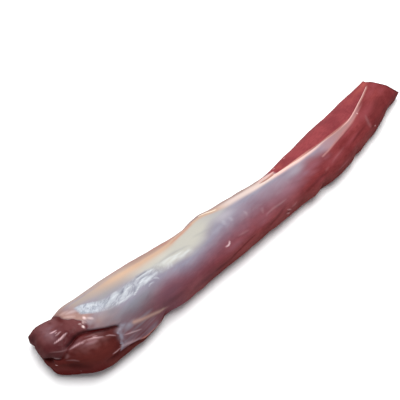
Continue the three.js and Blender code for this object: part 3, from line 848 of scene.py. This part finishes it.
class Finish:
    """A material built node by node."""

    def __init__(self, name):
        self.material = bpy.data.materials.new(name)
        self.material.use_nodes = True
        self.tree = self.material.node_tree
        self.tree.nodes.clear()
        self.marks_read = []

    def node(self, kind, settings=None, inputs=None, output=0):
        made = self.tree.nodes.new(kind)
        for name, value in (settings or {}).items():
            setattr(made, name, value)
        for name, value in (inputs or {}).items():
            if isinstance(value, Amount):
                self.tree.links.new(value.socket, made.inputs[name])
            else:
                made.inputs[name].default_value = value
        return Amount(self, made.outputs[output]) if made.outputs else None

    def mark(self, name):
        """The strength of a mark; the mesh gets every mark that is read here."""
        if name not in self.marks_read:
            self.marks_read.append(name)
        return self.node("ShaderNodeAttribute", {"attribute_name": name}, output="Fac")

    def place(self):
        return self.node("ShaderNodeTexCoord", output="Object")

    def limit(self, amount):
        return self.node("ShaderNodeClamp", inputs={"Value": amount})

    def between(self, amount, low, high):
        """0 below the low value, 1 above the high one, and smooth between."""
        inputs = {"Value": amount, "From Min": low, "From Max": high}
        return self.node("ShaderNodeMapRange", {"interpolation_type": "SMOOTHSTEP"}, inputs)

    def stretched(self, place, along, across, turned=0.0):
        inputs = {"Vector": place, "Rotation": (0, 0, turned), "Scale": (1 / along, 1 / across, 1)}
        return self.node("ShaderNodeMapping", {"vector_type": "TEXTURE"}, inputs)

    def noise(self, place, scale, detail=3.0, roughness=0.55, distortion=0.0):
        inputs = {"Scale": scale, "Detail": detail, "Roughness": roughness, "Distortion": distortion}
        return self.node("ShaderNodeTexNoise", inputs={"Vector": place, **inputs})

    def over(self, under, top, amount, blend="MIX"):
        """The top colour laid over the one under it, by an amount; plain colours are 0 to 255."""
        under, top = (shade(*c) if isinstance(c, tuple) else c for c in (under, top))
        settings = {"data_type": "RGBA", "blend_type": blend}
        return self.node("ShaderNodeMix", settings, {0: amount, 6: under, 7: top}, output=2)

    def tinted(self, colour, tint, amount):
        """A colour taken down by a tint, as by a filter."""
        return self.over(colour, tint, amount, "MULTIPLY")

    def layered(self, colour, layers):
        """Layers of a table, in its order: mark, colour, strength."""
        for name, top, strength in layers:
            colour = self.over(colour, top, self.limit(self.mark(name)) * strength)
        return colour

    def surface(self, **inputs):
        inputs = {name.replace("_", " "): value for name, value in inputs.items()}
        shader = self.node("ShaderNodeBsdfPrincipled", inputs=inputs)
        self.node("ShaderNodeOutputMaterial", inputs={"Surface": shader})


class Venison(Finish):
    """Raw venison with its silverskin, fat and tendons."""

    def __init__(self):
        super().__init__("raw_venison_and_silverskin")
        place = self.place()
        way = self.node("ShaderNodeAttribute", {"attribute_name": "way"}, output="Vector")
        self.mottle = self.noise(place, scale=42.0, detail=4.0)
        self.broad = self.noise(place, scale=13.0, detail=2.0)
        lengthwise = self.stretched(way, along=0.9, across=4.2)
        self.fibres = self.noise(lengthwise, scale=2.2, detail=4.0, roughness=0.6, distortion=0.3)
        aslant = self.stretched(way, along=0.45, across=2.4, turned=-0.2)
        self.threads = self.noise(aslant, scale=1.6, roughness=0.6, distortion=0.6)
        crosswise = self.stretched(way, along=1.5, across=0.8, turned=0.8)
        self.combed = self.noise(crosswise, scale=3.2, roughness=0.65, distortion=0.8)
        self.grain = self.fibres * 0.45 + self.mottle * 0.55

        skin = self.tints(self.silverskin(self.meat()))
        skin = self.details(self.fat_and_tendons(skin))
        membrane = self.limit(self.mark("veil") + self.mark("fat") + self.mark("cream") + self.mark("far"))
        height = self.fibres * (1 - membrane) * 0.6 + self.threads * membrane
        bump_inputs = {"Strength": 0.3, "Distance": BUMP_HEIGHT, "Height": height}
        self.surface(
            Base_Color=skin,
            Roughness=self.limit(0.42 - 0.08 * membrane + 0.2 * (self.mottle - 0.5)),
            Normal=self.node("ShaderNodeBump", inputs=bump_inputs, output="Normal"),
            Specular_IOR_Level=0.0,
            Coat_Weight=(0.05 + 0.1 * membrane) * (1 - self.mark("hem")),
            Coat_Roughness=0.16,
        )

    def uneven(self, dark, pale, amount=None, low=0.36, high=0.66):
        """A colour that wavers between a dark and a pale one, with the grain or another amount."""
        wavering = self.between(self.grain if amount is None else amount, low, high)
        return self.over(dark, pale, wavering)

    def meat(self):
        mark, mottle = self.mark, self.mottle
        meat = self.uneven((106, 41, 43), (129, 57, 58))
        # painted light and shade on the lower near side: a duller copy of the meat
        meat = self.over(meat, self.uneven((98, 46, 45), (118, 60, 59)), mark("low"))
        meat = self.tinted(meat, (212, 204, 206), mark("dim"))
        meat = self.over(meat, self.uneven((116, 49, 54), (138, 63, 66)), mark("side"))
        meat = self.over(meat, (162, 74, 68), mark("end_tint") * 0.5)

        far_lobe = self.uneven((76, 34, 36), (101, 57, 58), mottle)
        near_lobe = self.uneven((78, 27, 26), (97, 38, 35), mottle)
        # painted shade on the near lobe's lower part
        near_lobe = self.over(near_lobe, (83, 31, 30), mark("low"))
        # painted sheen on the near lobe
        near_lobe = self.over(near_lobe, (120, 70, 70), mark("lobe_sheen") * 0.85)
        meat = self.over(meat, self.over(far_lobe, near_lobe, mark("below_furrow")), mark("cut"))
        rim = self.limit(mark("far_rim") * self.between(mottle, 0.3, 0.6)) * 0.7
        meat = self.over(meat, (118, 62, 58), rim)
        # painted sheen on the far lobe
        meat = self.over(meat, (122, 98, 112), mark("sheen") * 0.55)
        return self.over(meat, self.uneven((76, 32, 31), (98, 50, 46)), mark("layer"))

    def silverskin(self, meat):
        """The silverskin over the meat, from its thinnest film to its thickest."""
        mark, mottle, head = self.mark, self.mottle, self.mark("cream_head")
        mauve = self.over(self.uneven((100, 58, 72), (116, 74, 87)), (88, 60, 70), head)
        skin = self.over(meat, mauve, mark("mauve") * 0.6)
        lavender = self.uneven((120, 117, 132), (138, 135, 148), self.broad, 0.4, 0.6)
        lavender = self.tinted(lavender, (255, 236, 236), mark("pinker"))
        skin = self.over(skin, lavender, self.limit(mark("veil") * (0.7 + 0.4 * self.threads)))
        skin = self.tinted(skin, (230, 246, 242), mark("dusk"))
        far = self.over((143, 117, 108), (154, 135, 128), head)
        skin = self.over(skin, far, mark("far") * 0.9)
        cream = self.uneven((172, 169, 159), (184, 181, 172), self.broad)
        cream = self.over(cream, (152, 142, 137), head)
        cream = self.over(cream, (159, 156, 155), mark("cream_cool"))
        skin = self.over(skin, cream, mark("cream") * 0.95)

        head_tan = mark("head_tan")
        skin = self.over(skin, (138, 104, 95), self.limit(head_tan * (0.7 + 0.5 * mottle)))
        specks = self.limit(head_tan) * self.between(mottle, 0.48, 0.62) * 0.5
        skin = self.over(skin, (170, 138, 131), specks)
        # The pearly band and the patch at its head are pale partly as thick silverskin and partly as painted
        # highlight; then the torn fringe, and a painted highlight past the band.
        off_threads = self.limit(abs(self.threads - 0.5) * 10.0)
        pearl = self.uneven((132, 134, 143), (162, 166, 173), off_threads, 0.1, 0.9)
        skin = self.over(skin, pearl, mark("pearl"))
        patch = self.uneven((140, 143, 153), (176, 180, 188), self.combed, 0.34, 0.62)
        skin = self.over(skin, patch, mark("patch"))
        return self.layered(skin, [("fringe", (122, 116, 128), 0.85), ("glow", (192, 194, 191), 1)])

    def tints(self, skin):
        dappled = 0.7 + 0.6 * self.mottle
        for name, (colour, _) in TINTS.items():
            skin = self.over(skin, colour, self.limit(self.mark(name) * dappled))
        return skin

    def fat_and_tendons(self, skin):
        mark = self.mark
        skin = self.layered(skin, FLANK_LAYERS)
        fat = self.uneven((180, 142, 117), (192, 160, 135), self.broad)
        fat = self.over(fat, (204, 184, 175), mark("pale_fat"))
        fat = self.over(fat, (222, 184, 173), mark("pink_fat"))
        skin = self.over(skin, fat, mark("fat"))
        tail = self.over((147, 119, 125), (150, 116, 114), mark("tail_tan"))
        skin = self.over(skin, tail, mark("tail_skin") * 0.9)
        return self.layered(skin, LINE_LAYERS)

    def details(self, skin):
        """Wet ridges with painted glints, froth, specks, and painted shade in the creases and in the furrow,
        the ledge and the notch.
        """
        ridges, creases, veil = self.mark("ridges"), self.mark("creases"), self.mark("veil")
        # pale ridges: painted glints on the lobes and the pearly band, pale tissue on the hem and the strands
        skin = self.over(skin, (222, 184, 188), self.limit(ridges * (1 - veil)))
        skin = self.over(skin, (196, 200, 204), self.limit(ridges * veil))
        # froth, pale partly as itself and partly as painted glints, and specks of fat
        skin = self.layered(skin, [("froth", (236, 210, 208), 1), ("bits", (216, 176, 176), 0.8)])
        # painted shade in the creases: grey-blue on the silverskin, dark red on bare meat
        skin = self.over(skin, (96, 98, 112), self.limit(creases * veil) * 0.8)
        skin = self.tinted(skin, (140, 84, 84), self.limit(creases) * (0.9 - 0.9 * veil))
        # the furrow's wall in bare meat's red darkened as painted shade, then painted shade at the foot of
        # the furrow, the ledge and the notch
        return self.layered(skin, [("wall", (92, 20, 24), 1), ("hollow", (58, 8, 10), 0.85)])


def add_table():
    paper = Finish("pale_table")
    mottle = paper.noise(paper.place(), scale=60.0, detail=2.0)
    white = paper.over((248, 248, 248), (251, 251, 251), mottle)
    paper.surface(Base_Color=white, Roughness=0.8, Specular_IOR_Level=0.2)
    bpy.ops.mesh.primitive_plane_add(size=TABLE_SIZE, location=(0, 0, TABLE_TOP))
    table = bpy.context.object
    table.name = "pale_table"
    table.data.materials.append(paper.material)


def add_camera(centre):
    """The camera, at the photo's angle."""
    azimuth, elevation = np.radians(CAMERA_AZIMUTH), np.radians(CAMERA_ELEVATION)
    level = np.cos(elevation)
    back = np.array([np.sin(azimuth) * level, -np.cos(azimuth) * level, np.sin(elevation)])
    lens = bpy.data.cameras.new("photo_camera")
    lens.lens, lens.sensor_width = CAMERA_LENS, CAMERA_SENSOR
    camera = bpy.data.objects.new("photo_camera", lens)
    camera.location = (np.array(CAMERA_AIM) - centre) * MM + back * CAMERA_DISTANCE
    camera.rotation_euler = Vector(-back).to_track_quat("-Z", "Y").to_euler()
    bpy.context.scene.collection.objects.link(camera)
    bpy.context.scene.camera = camera


def light_studio():
    for name, place, aim, size, power in SOFTBOXES:
        lamp = bpy.data.lights.new(name, "AREA")
        lamp.shape = "RECTANGLE"
        lamp.size, lamp.size_y = size
        lamp.energy = power
        box = bpy.data.objects.new(name, lamp)
        box.location = place
        box.rotation_euler = (Vector(aim) - Vector(place)).to_track_quat("-Z", "Y").to_euler()
        bpy.context.scene.collection.objects.link(box)
    world = bpy.data.worlds.new("studio")
    world.use_nodes = True
    background = world.node_tree.nodes["Background"].inputs
    background["Color"].default_value = STUDIO_COLOUR
    background["Strength"].default_value = STUDIO_STRENGTH
    bpy.context.scene.world = world
    bpy.context.scene.view_settings.view_transform = "Standard"


loin, centre = make_loin(Venison())
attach(loin, "root")
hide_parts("loin")

add_table()
add_camera(centre)
light_studio()
